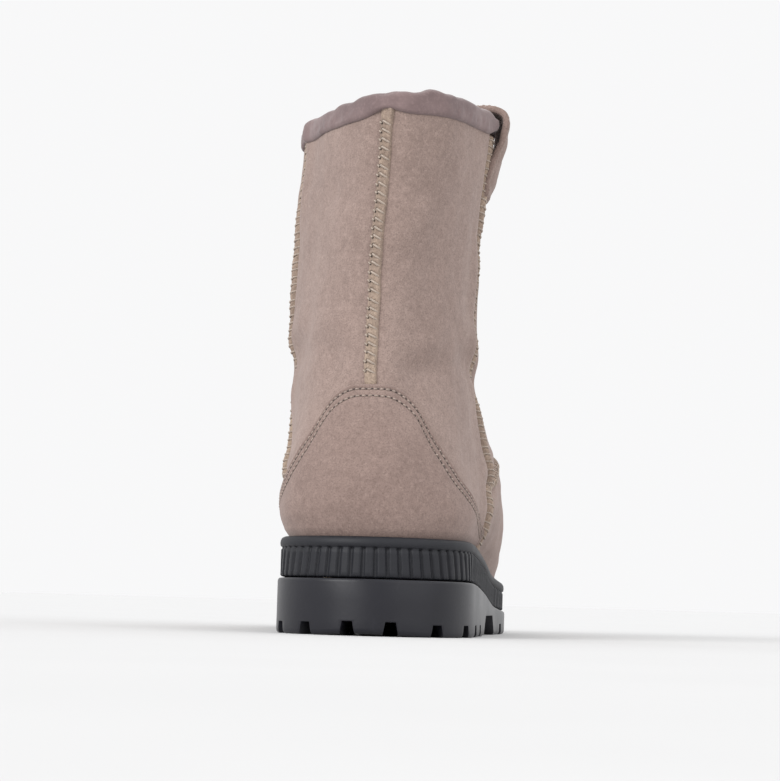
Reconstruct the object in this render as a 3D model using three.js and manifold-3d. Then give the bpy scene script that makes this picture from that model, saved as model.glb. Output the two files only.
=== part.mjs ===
// A right-foot sheepskin ankle boot: a hollow suede-and-fleece upper on a lugged rubber sole.
// Millimetres, +Z up, toe towards -Y, outer (lateral) side towards -X.
// Stations are given as u, the distance forward from the back of the heel.
import * as THREE from "three";
import { mergeVertices } from "three/addons/utils/BufferGeometryUtils.js";
import Module from "manifold-3d";

// ---------------------------------------------------------------- driving sizes
const SOLE_LENGTH = 284;
const HEEL_HEIGHT = 40; // floor to the sole's top edge at the back
const TOE_SPRING = 8;
const TOE_BREAK = 218; // station where the toe begins to lift
const HEEL_STRIKE = { length: 12, lift: 1.2 }; // bevel under the back edge
const GROOVE_DEPTH = 5;
const ARCH = { back: 97, front: 151, slope: 9, height: 9 }; // raised waist between heel and tread
const SIDE_LEDGE = 1.2; // the outsole stands this far outside the ribbed midsole
const RIM_WIDTH = 4; // wall of the midsole's cup
const RIM_DEPTH = 7; // depth of the cup that holds the upper
const GAP = 0.3; // between touching pieces
const LAID_GAP = 0.45; // under pieces whose facets differ from the upper's
const CUP_INSET = SIDE_LEDGE + RIM_WIDTH + GAP; // where the upper stands in the midsole's cup
const UPPER_WALL = 7; // suede and fleece together
const INSOLE_THICKNESS = 6;
const COUNTER_THICKNESS = 1.5;
const BINDING = { thickness: 1.2, outside: 8.2, inside: 9 };
const LOOP = { width: 24, thickness: 2.4, outside: 33, inside: 16, rise: 3.5, standOff: 4.8, round: -84 };

// Half width and centreline of the sole's plan at stations along it.
const SOLE_PLAN = [
  { u: 0, half: 41.5, centre: -0.8 },
  { u: 30, half: 41.2, centre: -1.1 },
  { u: 60, half: 41.3, centre: -3.1 },
  { u: 100, half: 41.5, centre: -5.4 },
  { u: 150, half: 46, centre: -4.4 },
  { u: 190, half: 54, centre: -0.8 },
  { u: 235, half: 54.3, centre: 1.8 },
  { u: 284, half: 54, centre: 3.7 },
];
const SOLE_ROUND = { back: 45, front: 85 }; // lengths of the round heel and toe

// Height of the sole's top edge and of the ribbed band below it.
const SOLE_PROFILE = [
  { u: 0, top: HEEL_HEIGHT, band: 17 },
  { u: 50, top: HEEL_HEIGHT - 0.5, band: 17 },
  { u: 100, top: 35.2, band: 16 },
  { u: 150, top: 28, band: 14.5 },
  { u: 190, top: 24.6, band: 13.6 },
  { u: 235, top: 25, band: 13.4 },
  { u: 284, top: 31, band: 13.4 },
];

// Closed sections of the upper from the sole to the collar. Each lies between a back and a front point;
// half widths are at the heel, the waist and the ball, round ends have the given lengths, and
// "follow" is how far the section keeps to the sole's curved top and bent plan.
const UPPER_SECTIONS = [
  {
    backU: 4.4, backZ: 43.6, frontU: 279.6, frontZ: 34.6,
    heel: 37.6, waist: 39.5, ball: 49.6, roundBack: 41, roundFront: 81, follow: 1,
  },
  {
    backU: 2.6, backZ: 50.5, frontU: 281, frontZ: 41.5,
    heel: 39.8, waist: 45, ball: 51.8, roundBack: 42, roundFront: 82, follow: 0.9,
  },
  {
    backU: 2.6, backZ: 61, frontU: 280, frontZ: 52,
    heel: 39.6, waist: 48.5, ball: 51.8, roundBack: 43, roundFront: 82, follow: 0.75,
  },
  {
    backU: 5.4, backZ: 74, frontU: 273, frontZ: 63.5,
    heel: 38.4, waist: 48.4, ball: 49.4, roundBack: 44, roundFront: 80, follow: 0.55,
  },
  {
    backU: 8.8, backZ: 86, frontU: 259, frontZ: 73.5,
    heel: 37.4, waist: 46.4, ball: 45, roundBack: 46, roundFront: 78, follow: 0.4,
  },
  {
    backU: 11.6, backZ: 97, frontU: 238, frontZ: 83,
    heel: 36.8, waist: 43.6, ball: 41, roundBack: 49, roundFront: 76, follow: 0.25,
  },
  {
    backU: 13, backZ: 107.5, frontU: 214, frontZ: 95,
    heel: 36.8, waist: 41, ball: 38.4, roundBack: 54, roundFront: 75, follow: 0.12,
  },
  {
    backU: 13, backZ: 119, frontU: 192.5, frontZ: 110,
    heel: 37.2, waist: 39.4, ball: 37.4, roundBack: 62, roundFront: 75, follow: 0.04,
  },
  {
    backU: 12.2, backZ: 132, frontU: 177, frontZ: 128,
    heel: 38, waist: 39.2, ball: 37.6, roundBack: 70, roundFront: 75, follow: 0,
  },
  {
    backU: 11, backZ: 148, frontU: 168.5, frontZ: 147.5,
    heel: 38.8, waist: 39.6, ball: 38.4, roundBack: 74, roundFront: 75, follow: 0,
  },
  {
    backU: 9.6, backZ: 169, frontU: 163, frontZ: 170,
    heel: 39, waist: 39.6, ball: 38.8, roundBack: 75, roundFront: 76, follow: 0,
  },
  {
    backU: 8.2, backZ: 196, frontU: 160, frontZ: 198,
    heel: 38.4, waist: 39, ball: 38.4, roundBack: 75, roundFront: 76, follow: 0,
  },
  {
    backU: 7, backZ: 222, frontU: 158.5, frontZ: 223,
    heel: 37.6, waist: 38.2, ball: 37.6, roundBack: 75, roundFront: 75, follow: 0,
  },
];
// How the worn shaft departs from upright, by height at the back: turned about its middle (degrees), outer
// side tipped up (degrees), shifted to the inner side, and drawn outwards at the outer and inner side seams.
const SHAFT_WEAR = [
  { z: 110, twist: 0, slant: 0, shift: 0, outerPeak: 0, innerPeak: 0 },
  { z: 132, twist: 1, slant: 0, shift: 0.2, outerPeak: 0, innerPeak: 0 },
  { z: 169, twist: 3, slant: 1.5, shift: -0.4, outerPeak: 0.8, innerPeak: 0.2 },
  { z: 196, twist: 4.5, slant: 3, shift: -1.2, outerPeak: 2.4, innerPeak: 0.6 },
  { z: 222, twist: 5.5, slant: 4, shift: -2, outerPeak: 4.4, innerPeak: 1.2 },
];
const SEAM_SPOT = 0.38; // share of the section's length where a side seam stands
const SECTION_SPOTS = { heel: 0.16, waist: 0.42, ball: 0.72 }; // where along a section its half widths hold

// Top edge of the heel counter: height against distance round from the back seam.
const COUNTER_EDGE = [
  { round: 0, z: 103 },
  { round: 9, z: 101.8 },
  { round: 18, z: 96 },
  { round: 28, z: 82.5 },
  { round: 40, z: 71 },
  { round: 56, z: 60.5 },
  { round: 76, z: 52 },
  { round: 97, z: 45.5 },
];

// Tread grooves as seen from above: outer and inner ends by station and side distance (inner side positive).
const HEEL_GROOVES = [
  { outU: 73, outX: 36, inU: 79.5, inX: 12, width: 7 },
  { outU: 48, outX: 39, inU: 58, inX: 12.5, width: 7 },
  { outU: 24, outX: 38, inU: 42.5, inX: 10.5, width: 6.4 },
  { outU: 6.5, outX: 26, inU: 36.5, inX: 8.5, width: 6 },
  { outU: -1, outX: 7, inU: 35, inX: 1, width: 5.6 },
  { outU: 0.5, outX: -11, inU: 36.5, inX: -7.5, width: 5.6 },
  { outU: 12, outX: -29.5, inU: 41.5, inX: -14.5, width: 6 },
  { outU: 31.5, outX: -40.5, inU: 49.5, inX: -19.5, width: 6.4 },
  { outU: 54, outX: -44, inU: 64, inX: -22, width: 7 },
  { outU: 76.5, outX: -46, inU: 82, inX: -22, width: 7 },
];
const TREAD_GROOVES = [
  { outU: 166, outX: 47.5, inU: 175.5, inX: 17, width: 6.6 },
  { outU: 188, outX: 54, inU: 194.5, inX: 20.5, width: 6.6 },
  { outU: 212, outX: 54, inU: 212, inX: 21.5, width: 7 },
  { outU: 234.5, outX: 51, inU: 227, inX: 19.5, width: 7 },
  { outU: 257, outX: 44, inU: 239, inX: 16.5, width: 7 },
  { outU: 276, outX: 28.5, inU: 248, inX: 9, width: 6.6 },
  { outU: 285, outX: 4, inU: 250, inX: 2, width: 5.4 },
  { outU: 277.5, outX: -15.5, inU: 243, inX: -9, width: 5.4 },
  { outU: 261, outX: -33, inU: 237, inX: -15.5, width: 5.4 },
  { outU: 243.5, outX: -43, inU: 227, inX: -20, width: 6.2 },
  { outU: 219, outX: -51, inU: 208, inX: -24.5, width: 6.6 },
  { outU: 195.5, outX: -54.5, inU: 189, inX: -25.5, width: 6.6 },
  { outU: 171, outX: -53, inU: 170.5, inX: -25, width: 6.6 },
];
// Sunk fields inside the outer lugs, and the pads left standing in them.
const HEEL_FIELD = [
  [34, 7], [40, 12], [58, 14.5], [97.5, 12.5], [97.5, -22.5], [58, -22.5], [43, -19], [35.5, -12], [32.5, -3],
];
const TREAD_FIELD = [
  [154, 9], [170, 14.5], [196, 20], [214, 22], [230, 19.5], [243, 13],
  [248, 4], [244, -8], [234, -17], [222, -22.5], [208, -25.5], [153, -26],
];
const HEEL_DISC = { u: 54, x: -3, radius: 10 };
const HEEL_BARS = [
  [[68, 7.5], [77.5, 7.5], [77.5, -16], [67, -16], [71.5, -4]],
  [[86, 6.5], [93, 6.5], [93, -16], [86, -16]],
];
const TREAD_BAR = { first: 157, pitch: 18, width: 11, lean: 7.5, near: -21, far: [8.5, 12.5, 15, 15] };
const TREAD_POINT = [[236, 13], [242.5, 6], [242, -1], [238.5, -9], [230.5, -15], [232.5, -2]];
const SHANK_PLATE = { from: 99, to: 146, back: [9.5, -21.5], front: [5.5, -20.5], proud: 1.2 };

const STATIONS = 26; // along each side of a ring
const RING_STEPS = 20; // rings up the upper

// ---------------------------------------------------------------- curves
// Smooth curve through a table's column, against its "at" column.
function through(rows, at, column, x) {
  const last = rows.length - 1;
  if (x <= rows[0][at]) return rows[0][column];
  if (x >= rows[last][at]) return rows[last][column];
  let i = 0;
  while (x > rows[i + 1][at]) i++;
  const slope = (k) => {
    const a = rows[Math.max(k - 1, 0)];
    const b = rows[Math.min(k + 1, last)];
    return (b[column] - a[column]) / (b[at] - a[at]);
  };
  const span = rows[i + 1][at] - rows[i][at];
  const t = (x - rows[i][at]) / span;
  const [t2, t3] = [t * t, t * t * t];
  return (
    (2 * t3 - 3 * t2 + 1) * rows[i][column] +
    (t3 - 2 * t2 + t) * span * slope(i) +
    (3 * t2 - 2 * t3) * rows[i + 1][column] +
    (t3 - t2) * span * slope(i + 1)
  );
}

// Share of the full width at a distance from a round end of the given length: a quarter ellipse.
function cap(distance, length) {
  const t = Math.min(Math.max(distance / length, 0), 1);
  return Math.sqrt(1 - (1 - t) ** 2);
}

const soleTop = (u) => through(SOLE_PROFILE, "u", "top", u);
const partLine = (u) => soleTop(u) - through(SOLE_PROFILE, "u", "band", u);
const cupFloor = (u) => soleTop(u) - RIM_DEPTH;

function ground(u) {
  const strike = Math.max(0, 1 - u / HEEL_STRIKE.length);
  const spring = Math.max(0, (u - TOE_BREAK) / (SOLE_LENGTH - TOE_BREAK));
  return HEEL_STRIKE.lift * strike ** 2 + TOE_SPRING * spring ** 2;
}

// Station and the two side distances of the sole's outline, moved inwards by inset, at share t of its length.
function soleEdge(t, inset) {
  const length = SOLE_LENGTH - 2 * inset;
  const along = (length * (1 - Math.cos(Math.PI * t))) / 2;
  const u = along + inset;
  const round = cap(along, SOLE_ROUND.back - inset) * cap(length - along, SOLE_ROUND.front - inset);
  const half = (through(SOLE_PLAN, "u", "half", u) - inset) * round;
  const centre = through(SOLE_PLAN, "u", "centre", u);
  return { u, outer: centre - half, inner: centre + half };
}

const at = (u, x, z) => new THREE.Vector3(x, SOLE_LENGTH / 2 - u, z);

// ---------------------------------------------------------------- mesh building
// A ring is a list of points: back, then the outer side forward, the toe, and the inner side back again.
function soleRing(inset, height, stations = STATIONS) {
  const ring = [];
  for (let i = 0; i <= stations; i++) {
    const e = soleEdge(i / stations, inset);
    ring.push(at(e.u, e.outer, height(e.u)));
  }
  for (let i = stations - 1; i > 0; i--) {
    const e = soleEdge(i / stations, inset);
    ring.push(at(e.u, e.inner, height(e.u)));
  }
  return ring;
}

function bufferOf(triangles) {
  const points = triangles.flat();
  const g = new THREE.BufferGeometry().setFromPoints(points);
  return mergeVertices(g, 1e-3);
}

// Walls between rings; round a shape that closes on itself when "closed".
function walls(rings, closed = false) {
  const out = [];
  const n = rings[0].length;
  const steps = closed ? rings.length : rings.length - 1;
  for (let k = 0; k < steps; k++) {
    const [a, b] = [rings[k], rings[(k + 1) % rings.length]];
    for (let i = 0; i < n; i++) {
      const j = (i + 1) % n;
      out.push([a[i], a[j], b[j]], [a[i], b[j], b[i]]);
    }
  }
  return out;
}

// A lid across a ring, laid as rungs between its outer and inner sides; "up" lids face +Z.
function lid(ring, up) {
  const out = [];
  const half = ring.length / 2;
  const other = (i) => (ring.length - i) % ring.length;
  for (let i = 0; i < half; i++) {
    const [a, b, c, d] = [ring[i], ring[i + 1], ring[other(i + 1)], ring[other(i)]];
    if (i > 0) out.push(up ? [a, c, d] : [a, d, c]);
    if (i < half - 1) out.push(up ? [a, b, c] : [a, c, b]);
  }
  return out;
}

const stacked = (rings) => bufferOf([...lid(rings[0], false), ...walls(rings), ...lid(rings.at(-1), true)]);

// ---------------------------------------------------------------- solids by manifold-3d
const wasm = await Module();
wasm.setup();

function solidOf(geometry) {
  const g = geometry.clone();
  for (const name of Object.keys(g.attributes)) if (name !== "position") g.deleteAttribute(name);
  const merged = mergeVertices(g, 1e-4);
  return new wasm.Manifold(
    new wasm.Mesh({
      numProp: 3,
      vertProperties: new Float32Array(merged.attributes.position.array),
      triVerts: new Uint32Array(merged.index.array),
    }),
  );
}

function geometryOf(solid) {
  const m = solid.getMesh();
  return new THREE.BufferGeometry()
    .setAttribute("position", new THREE.BufferAttribute(new Float32Array(m.vertProperties), 3))
    .setIndex(new THREE.BufferAttribute(new Uint32Array(m.triVerts), 1));
}

// An upright prism over a plan outline given as [station, side distance] pairs.
function prism(outline, zLow, zHigh) {
  const shape = new THREE.Shape(outline.map(([u, x]) => new THREE.Vector2(x, SOLE_LENGTH / 2 - u)));
  const g = new THREE.ExtrudeGeometry(shape, { depth: zHigh - zLow, bevelEnabled: false });
  return solidOf(g.translate(0, 0, zLow));
}

// ---------------------------------------------------------------- outsole
const BELOW = -6; // cutters start below the floor

// A tapered channel from the sole's edge to its inner end, wider at the floor than at its root.
function groove({ outU, outX, inU, inX, width }) {
  const outer = new THREE.Vector2(outU, outX);
  const inner = new THREE.Vector2(inU, inX);
  const along = inner.clone().sub(outer).normalize();
  const start = outer.clone().addScaledVector(along, -8);
  const side = new THREE.Vector2(-along.y, along.x);
  const corner = (p, reach, z) => {
    const q = p.clone().addScaledVector(side, reach);
    return at(q.x, q.y, z);
  };
  const [root, mouth] = [width * 0.38, width * 0.38 + 2.4];
  const rootOut = ground(Math.min(Math.max(outU, 0), SOLE_LENGTH)) + GROOVE_DEPTH;
  const rootIn = ground(inU) + GROOVE_DEPTH;
  const section = (p, z) =>
    [corner(p, -mouth, BELOW), corner(p, mouth, BELOW), corner(p, root, z), corner(p, -root, z)];
  const [a, b] = [section(start, rootOut), section(inner, rootIn)];
  const ends = [[a[0], a[2], a[1]], [a[0], a[3], a[2]], [b[0], b[1], b[2]], [b[0], b[2], b[3]]];
  return bufferOf([...walls([a, b]), ...ends]);
}

function circle({ u, x, radius }, corners = 20) {
  return Array.from({ length: corners }, (_, i) => {
    const turn = (2 * Math.PI * i) / corners;
    return [u + radius * Math.cos(turn), x + radius * Math.sin(turn)];
  });
}

function treadBars() {
  const { first, pitch, width, lean, near, far } = TREAD_BAR;
  return far.map((top, i) => {
    const low = first + pitch * i;
    const high = low + (lean * (top - near)) / (far.at(-1) - near);
    return [[low, near], [high, top], [high + width + (i === 0 ? 2 : 0), top], [low + width, near]];
  });
}

function archCutter() {
  const { back, front, slope, height } = ARCH;
  const side = [
    [back, BELOW], [back, 0], [back + slope, height], [front - slope, height], [front, 0], [front, BELOW],
  ];
  const shape = new THREE.Shape(side.map(([u, z]) => new THREE.Vector2(u, z)));
  const g = new THREE.ExtrudeGeometry(shape, { depth: 160, bevelEnabled: false }).translate(0, 0, -80);
  const across = new THREE.Matrix4().set(0, 0, -1, 0, -1, 0, 0, SOLE_LENGTH / 2, 0, 1, 0, 0, 0, 0, 0, 1);
  return g.applyMatrix4(across);
}

function outsole() {
  let body = solidOf(
    stacked([
      soleRing(0.9, ground),
      soleRing(0, (u) => ground(u) + 1.6),
      soleRing(0, (u) => partLine(u) - 1),
      soleRing(0.8, partLine),
    ]),
  );
  const field = (outline, pads) =>
    pads.reduce(
      (left, pad) => left.subtract(prism(pad, BELOW - 1, GROOVE_DEPTH + 1)),
      prism(outline, BELOW, GROOVE_DEPTH),
    );
  const cutters = [
    solidOf(archCutter()),
    ...[...HEEL_GROOVES, ...TREAD_GROOVES].map((g) => solidOf(groove(g))),
    field(HEEL_FIELD, [circle(HEEL_DISC), ...HEEL_BARS]),
    field(TREAD_FIELD, [...treadBars(), TREAD_POINT]),
  ];
  cutters.forEach((cutter) => (body = body.subtract(cutter)));
  const { from, to, back, front, proud } = SHANK_PLATE;
  const plate = [[from, back[0]], [to, front[0]], [to, front[1]], [from, back[1]]];
  return geometryOf(body.add(prism(plate, ARCH.height - proud, ARCH.height + 1)));
}

// ---------------------------------------------------------------- midsole and insole
function midsole() {
  const outside = SIDE_LEDGE;
  const inside = SIDE_LEDGE + RIM_WIDTH;
  const rings = [
    soleRing(outside, (u) => partLine(u) + GAP),
    soleRing(outside, (u) => soleTop(u) - 4.5),
    soleRing(outside - 0.6, (u) => soleTop(u) - 3.4),
    soleRing(outside - 0.6, (u) => soleTop(u) - 1.4),
    soleRing(outside + 1.2, soleTop),
    soleRing(inside - 0.6, soleTop),
    soleRing(inside, (u) => soleTop(u) - 1),
    soleRing(inside, cupFloor),
  ];
  return bufferOf([...lid(rings[0], false), ...walls(rings), ...lid(rings.at(-1), true)]);
}

function insole() {
  const inset = CUP_INSET + UPPER_WALL + 1;
  return stacked([
    soleRing(inset, (u) => cupFloor(u) + GAP),
    soleRing(inset, (u) => cupFloor(u) + GAP + INSOLE_THICKNESS - 1.5),
    soleRing(inset + 1.5, (u) => cupFloor(u) + GAP + INSOLE_THICKNESS),
  ]);
}

// ---------------------------------------------------------------- upper
const SECTIONS = UPPER_SECTIONS.map((row, i) => ({ ...row, level: i }));
const TOP_LEVEL = SECTIONS.length - 1;
const section = (level, column) => through(SECTIONS, "level", column, level);

// The upper's outside at a level and at a share t of the way from back to front; side is -1 outer, 1 inner.
function upperPoint(level, t, side) {
  const [u0, z0, u1, z1] = ["backU", "backZ", "frontU", "frontZ"].map((c) => section(level, c));
  const wear = (column) => through(SHAFT_WEAR, "z", column, z0);
  const length = Math.hypot(u1 - u0, z1 - z0);
  const share = (1 - Math.cos(Math.PI * t)) / 2;
  const along = length * share;
  const widths = [
    { spot: 0, half: section(level, "heel") },
    { spot: SECTION_SPOTS.heel, half: section(level, "heel") },
    { spot: SECTION_SPOTS.waist, half: section(level, "waist") },
    { spot: SECTION_SPOTS.ball, half: section(level, "ball") },
    { spot: 1, half: section(level, "ball") },
  ];
  const round = cap(along, section(level, "roundBack")) * cap(length - along, section(level, "roundFront"));
  const nearSeam = Math.exp(-(Math.abs((share - SEAM_SPOT) / 0.14) ** 1.4));
  const peak = wear(side < 0 ? "outerPeak" : "innerPeak") * nearSeam;
  const half = through(widths, "spot", "half", share) * round + peak;
  const u = u0 + (u1 - u0) * share;
  const follow = section(level, "follow");
  const bend = soleTop(u) - (soleTop(0) + (soleTop(SOLE_LENGTH) - soleTop(0)) * (u / SOLE_LENGTH));
  const [turn, tip] = ["twist", "slant"].map((c) => Math.sin(THREE.MathUtils.degToRad(wear(c))));
  const x = through(SOLE_PLAN, "u", "centre", u) * follow + side * half;
  const z = z0 + (z1 - z0) * share + bend * follow - side * half * tip;
  return at(u, x + (u - (u0 + u1) / 2) * turn + wear("shift"), z);
}

// Outward unit normal of the upper's outside, from neighbouring points.
function upperNormal(level, t, side) {
  const step = 0.02;
  const above = upperPoint(Math.min(level + step, TOP_LEVEL), t, side);
  const up = above.sub(upperPoint(Math.max(level - step, 0), t, side));
  const [lo, hi] = [t - 0.01, t + 0.01];
  const near = lo < 0 ? upperPoint(level, -lo, -side) : upperPoint(level, lo, side);
  const far = hi > 1 ? upperPoint(level, 2 - hi, -side) : upperPoint(level, hi, side);
  const forward = far.sub(near);
  return forward.cross(up).multiplyScalar(-side).normalize();
}

function offsetPoint(level, t, side, out) {
  return upperPoint(level, t, side).addScaledVector(upperNormal(level, t, side), out);
}

function upperRing(level, out, stations = STATIONS) {
  const ring = [];
  for (let i = 0; i <= stations; i++) ring.push(offsetPoint(level, i / stations, -1, out));
  for (let i = stations - 1; i > 0; i--) ring.push(offsetPoint(level, i / stations, 1, out));
  return ring;
}

function upper() {
  const levels = Array.from({ length: RING_STEPS + 1 }, (_, i) => (TOP_LEVEL * i) / RING_STEPS);
  const foot = (inset) => [
    soleRing(inset, (u) => cupFloor(u) + GAP, STATIONS),
    soleRing(inset, (u) => soleTop(u) + 0.8, STATIONS),
  ];
  const outside = [...foot(CUP_INSET), ...levels.map((level) => upperRing(level, 0))];
  const inside = [...foot(CUP_INSET + UPPER_WALL), ...levels.map((level) => upperRing(level, -UPPER_WALL))];
  return bufferOf(walls([...outside, ...inside.reverse()], true));
}

// ---------------------------------------------------------------- pieces laid on the upper
// The share t at which the section at a level has run a distance round from its back point.
function shareAt(level, side, round) {
  const step = 0.01;
  let [t, run] = [0, 0];
  let last = upperPoint(level, 0, side);
  while (t < 1) {
    const next = upperPoint(level, t + step, side);
    const leg = next.distanceTo(last);
    if (run + leg >= round) return t + (step * (round - run)) / leg;
    [t, run, last] = [t + step, run + leg, next];
  }
  return 1;
}

// The upper's surface at a level and a distance round from the back; inner side positive.
function laid(level, round, out) {
  const side = round < 0 ? -1 : 1;
  return offsetPoint(level, shareAt(level, side, Math.abs(round)), side, out);
}

// Level whose surface reaches a height at a distance round from the back.
function levelAtHeight(z, round) {
  let [low, high] = [0, TOP_LEVEL];
  for (let i = 0; i < 16; i++) {
    const middle = (low + high) / 2;
    if (laid(middle, round, 0).z < z) low = middle;
    else high = middle;
  }
  return low;
}

// A plate between two grids of points of the same size, grid[column][row]; columns go back and rows up.
function plate(inner, outer) {
  const out = [];
  const [columns, rows] = [inner.length, inner[0].length];
  for (let c = 0; c < columns - 1; c++) {
    for (let r = 0; r < rows - 1; r++) {
      const [a, b] = [outer[c], outer[c + 1]];
      const [p, q] = [inner[c], inner[c + 1]];
      out.push([a[r], b[r + 1], b[r]], [a[r], a[r + 1], b[r + 1]]);
      out.push([p[r], q[r], q[r + 1]], [p[r], q[r + 1], p[r + 1]]);
    }
  }
  const rim = [];
  for (let r = 0; r < rows; r++) rim.push([0, r]);
  for (let c = 1; c < columns; c++) rim.push([c, rows - 1]);
  for (let r = rows - 2; r >= 0; r--) rim.push([columns - 1, r]);
  for (let c = columns - 2; c > 0; c--) rim.push([c, 0]);
  const pick = (grid) => rim.map(([c, r]) => grid[c][r]);
  return bufferOf([...out, ...walls([pick(inner), pick(outer)])]);
}

function heelCounter() {
  const reach = COUNTER_EDGE.at(-1).round;
  const columns = Array.from({ length: 33 }, (_, i) => -reach + (reach * i) / 16);
  const grid = (out) =>
    columns.map((round) => {
      const top = levelAtHeight(through(COUNTER_EDGE, "round", "z", Math.abs(round)), round);
      return Array.from({ length: 8 }, (_, i) => laid((top * i) / 7, round, out));
    });
  return plate(grid(LAID_GAP), grid(LAID_GAP + COUNTER_THICKNESS));
}

// Level a distance down from the collar at the middle of the outer side.
function levelBelowCollar(drop, round) {
  return levelAtHeight(laid(TOP_LEVEL, round, 0).z - drop, round);
}

function collarBinding() {
  const { thickness, outside, inside } = BINDING;
  const [near, far] = [GAP, GAP + thickness];
  const lifted = (out, lift) => upperRing(TOP_LEVEL, out).map((p) => p.add(new THREE.Vector3(0, 0, lift)));
  const low = levelBelowCollar(outside, 0);
  const lowInside = levelBelowCollar(inside, 0);
  return bufferOf(
    walls(
      [
        upperRing(low, near),
        upperRing(low, far),
        upperRing(TOP_LEVEL, far),
        lifted(far - 0.6, far - 0.2),
        lifted(-UPPER_WALL / 2, far),
        lifted(-UPPER_WALL - far + 0.6, far - 0.2),
        upperRing(TOP_LEVEL, -UPPER_WALL - far),
        upperRing(lowInside, -UPPER_WALL - far),
        upperRing(lowInside, -UPPER_WALL - near),
        lifted(-UPPER_WALL - near, near),
        lifted(near, near),
      ],
      true,
    ),
  );
}

// A strip folded over the collar at the outer side seam: down the outside, and down the inside.
function pullLoop() {
  const { width, thickness, outside, inside, rise, standOff, round } = LOOP;
  const bound = GAP + BINDING.thickness + GAP;
  const inner = -UPPER_WALL - bound;
  const path = [
    { drop: outside, out: GAP },
    { drop: outside * 0.78, out: GAP + 0.6 },
    { drop: outside * 0.5, out: bound + standOff * 0.55 },
    { drop: outside * 0.22, out: bound + standOff },
    { drop: 0, out: bound + standOff * 0.9 },
    { lift: rise * 0.75, out: bound + standOff * 0.2 },
    { lift: rise, out: -UPPER_WALL / 2 },
    { lift: rise * 0.75, out: inner + 1 },
    { drop: 0, out: inner },
    { drop: inside, out: inner },
  ];
  const columns = [-0.5, -0.17, 0.17, 0.5].map((c) => round + width * c);
  const middle = columns.map((column) =>
    path.map(({ drop = 0, lift = 0, out }) => {
      const point = laid(levelBelowCollar(drop, column), column, out);
      point.z += lift;
      return point;
    }),
  );
  // thicken away from the shaft, square to the path
  const thick = middle.map((points) =>
    points.map((point, i) => {
      const after = points[Math.min(i + 1, points.length - 1)];
      const along = after.clone().sub(points[Math.max(i - 1, 0)]).normalize();
      const across = along.cross(new THREE.Vector3(0, 1, 0)).normalize();
      return point.clone().addScaledVector(across, thickness);
    }),
  );
  return plate(middle, thick);
}

// ---------------------------------------------------------------- assembly
const suede = new THREE.MeshStandardMaterial({ color: 0xa8958d, roughness: 0.95, metalness: 0 });
const rubber = new THREE.MeshStandardMaterial({ color: 0x2b2b31, roughness: 0.5, metalness: 0 });
const binding = new THREE.MeshStandardMaterial({ color: 0x8e7b78, roughness: 0.95, metalness: 0 });
const fleece = new THREE.MeshStandardMaterial({ color: 0xcfc3b8, roughness: 1, metalness: 0 });

const boot = new THREE.Group();
function add(name, geometry, material) {
  const mesh = new THREE.Mesh(geometry, material);
  mesh.name = name;
  boot.add(mesh);
}
add("outsole", outsole(), rubber);
add("midsole", midsole(), rubber);
add("insole", insole(), fleece);
add("upper", upper(), suede);
add("heel_counter", heelCounter(), suede);
add("collar_binding", collarBinding(), binding);
add("pull_loop", pullLoop(), suede);

export default boot;
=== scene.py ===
"""A right-foot sheepskin ankle boot: suede upper, fleece inside, lugged rubber sole. Sizes in millimetres."""

import math

import bpy
import numpy as np
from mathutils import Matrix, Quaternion, Vector


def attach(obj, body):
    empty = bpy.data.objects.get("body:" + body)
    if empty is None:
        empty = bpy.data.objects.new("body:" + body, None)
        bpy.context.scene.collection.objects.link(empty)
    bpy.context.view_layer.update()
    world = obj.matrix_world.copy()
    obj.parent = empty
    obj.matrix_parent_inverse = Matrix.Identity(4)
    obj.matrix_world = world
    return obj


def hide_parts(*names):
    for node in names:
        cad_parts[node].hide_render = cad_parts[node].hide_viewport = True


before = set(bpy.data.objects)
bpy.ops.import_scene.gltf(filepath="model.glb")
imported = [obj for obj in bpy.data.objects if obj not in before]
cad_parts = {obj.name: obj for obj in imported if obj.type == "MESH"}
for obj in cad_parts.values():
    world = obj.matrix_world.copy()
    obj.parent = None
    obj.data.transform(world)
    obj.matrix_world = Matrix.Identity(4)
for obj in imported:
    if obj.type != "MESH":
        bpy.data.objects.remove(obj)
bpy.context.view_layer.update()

# The toe points to -Y and the inner side to +X. A station, u, is the distance forward from the heel's back.
MM = 0.001
UP, FLAT = np.array([0, 0, 1]), np.array([1, 1, 0])
rng = np.random.default_rng(7)

# ------------ sizes shared with the solids
SOLE_LENGTH = 284.0
TOE_SPRING, TOE_BREAK = 8.0, 218.0
STRIKE_LENGTH, STRIKE_LIFT = 12.0, 1.2
GROOVE_DEPTH = 5.0
SIDE_LEDGE, RIM_WIDTH, RIM_DEPTH = 1.2, 4.0, 7.0
CUP_INSET = SIDE_LEDGE + RIM_WIDTH + 0.3
ARCH = dict(back=97, front=151, slope=9, height=9)


def table(columns, rows):
    """Named columns from rows of numbers."""
    a = np.array(rows, float)
    return {name: a[:, i] for i, name in enumerate(columns.split())}


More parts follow.
